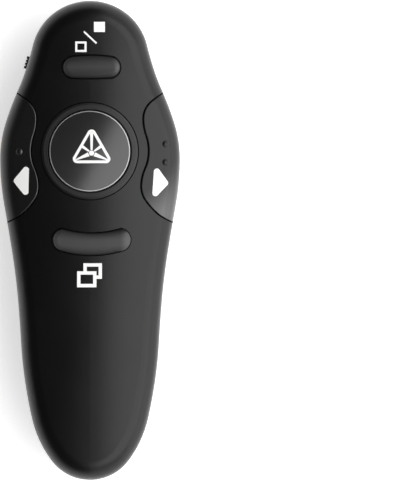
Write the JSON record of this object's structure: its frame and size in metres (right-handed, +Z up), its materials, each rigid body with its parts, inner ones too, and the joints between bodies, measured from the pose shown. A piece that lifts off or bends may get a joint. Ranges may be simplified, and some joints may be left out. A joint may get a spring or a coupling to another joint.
{
  "type": "wireless presentation clicker",
  "caption": "Slim black wireless presentation clicker with a round laser key in a ring, lozenge keys, wrap-round page keys, a power slide and a USB receiver under its cover.",
  "frame": {"origin": "the middle of the underside's bounding rectangle, on the surface it lies on", "axes": "+X to the right with the keys facing the reader, +Y from the tail to the laser nose, +Z up out of the key face"},
  "size_m": [0.0428, 0.114, 0.0275],
  "materials": {
    "soft_black": "soft-touch black paint, very fine satin grain",
    "cover_black": "soft-touch black paint on the battery cover",
    "ring_black": "satin black bezel",
    "key_black": "satin black keys",
    "gloss_black": "semi-gloss black page keys",
    "knob_black": "satin black slide knob",
    "inner_black": "plain black plastic inside the case",
    "receiver_black": "satin black receiver housing",
    "board_green": "green solder mask",
    "board_white": "white solder mask",
    "chip_black": "moulded chip",
    "laser_glass": "dark red clear window and lens",
    "brass": "turned brass",
    "gold": "gold-plated contacts",
    "tin_plate": "tin-plated steel",
    "screw_steel": "zinc-plated screws",
    "cell_sleeve": "plain printed sleeve"
  },
  "bodies": {
    "handset": {"front_shell": "soft_black", "rear_shell": "soft_black", "laser_key_ring": "ring_black", "power_switch": "tin_plate", "main_board": "board_green", "radio_chip": "chip_black", "crystal_can": "tin_plate", "laser_window": "laser_glass", "laser_barrel": "brass", "laser_lens": "laser_glass", "laser_driver_board": "board_green", "battery_positive_plate": "tin_plate", "battery_negative_plate": "tin_plate", "battery_spring": "tin_plate", "case_screws": "screw_steel", "board_screws": "screw_steel", "laser_switch": "tin_plate", "blank_switch": "tin_plate", "window_switch": "tin_plate", "page_back_switch": "tin_plate", "page_forward_switch": "tin_plate", "pair_switch": "tin_plate"},
    "cover": {"battery_cover": "cover_black"},
    "receiver": {"receiver_housing": "receiver_black", "receiver_plug": "receiver_black", "receiver_contact_board": "board_white", "receiver_contacts": "gold"},
    "cell": {"battery_cell": "cell_sleeve"},
    "laser_button": {"laser_key": "key_black", "laser_plunger": "inner_black"},
    "blank_button": {"blank_key": "key_black", "blank_plunger": "inner_black"},
    "window_button": {"window_key": "key_black", "window_plunger": "inner_black"},
    "page_back_button": {"page_back_key": "gloss_black", "page_back_plunger": "inner_black"},
    "page_forward_button": {"page_forward_key": "gloss_black", "page_forward_plunger": "inner_black"},
    "power_slider": {"power_knob": "knob_black", "power_lever": "inner_black"},
    "pair_button": {"pair_key": "key_black", "pair_plunger": "inner_black"}
  },
  "joints": [
    {"name": "cover_off", "type": "slide", "parent": "handset", "child": "cover", "axis": [0, -0.7071, -0.7071], "range_m": [0, 0.06]},
    {"name": "receiver_out", "type": "slide", "parent": "handset", "child": "receiver", "axis": [0, 0, -1], "range_m": [0, 0.027]},
    {"name": "cell_out", "type": "slide", "parent": "handset", "child": "cell", "axis": [0, 0, -1], "range_m": [0, 0.021]},
    {"name": "laser_key_press", "type": "slide", "parent": "handset", "child": "laser_button", "axis": [0, 0, -1], "range_m": [0, 0.0004], "stiffness_N_per_m": 700},
    {"name": "blank_key_press", "type": "slide", "parent": "handset", "child": "blank_button", "axis": [0, 0, -1], "range_m": [0, 0.0004], "stiffness_N_per_m": 700},
    {"name": "window_key_press", "type": "slide", "parent": "handset", "child": "window_button", "axis": [0, 0, -1], "range_m": [0, 0.0004], "stiffness_N_per_m": 700},
    {"name": "page_back_key_press", "type": "slide", "parent": "handset", "child": "page_back_button", "axis": [0, 0, -1], "range_m": [0, 0.0003], "stiffness_N_per_m": 700},
    {"name": "page_forward_key_press", "type": "slide", "parent": "handset", "child": "page_forward_button", "axis": [0, 0, -1], "range_m": [0, 0.0003], "stiffness_N_per_m": 700},
    {"name": "power_slide", "type": "slide", "parent": "handset", "child": "power_slider", "axis": [0.2879, 0.9577, 0], "range_m": [0, 0.0025]},
    {"name": "pair_key_press", "type": "slide", "parent": "handset", "child": "pair_button", "axis": [0, 0, 1], "range_m": [0, 0.0004], "stiffness_N_per_m": 700}
  ],
  "couplings": [
    {"joint": "receiver_out", "follows": "cover_off", "ratio": 0.45},
    {"joint": "cell_out", "follows": "cover_off", "ratio": 0.35}
  ]
}
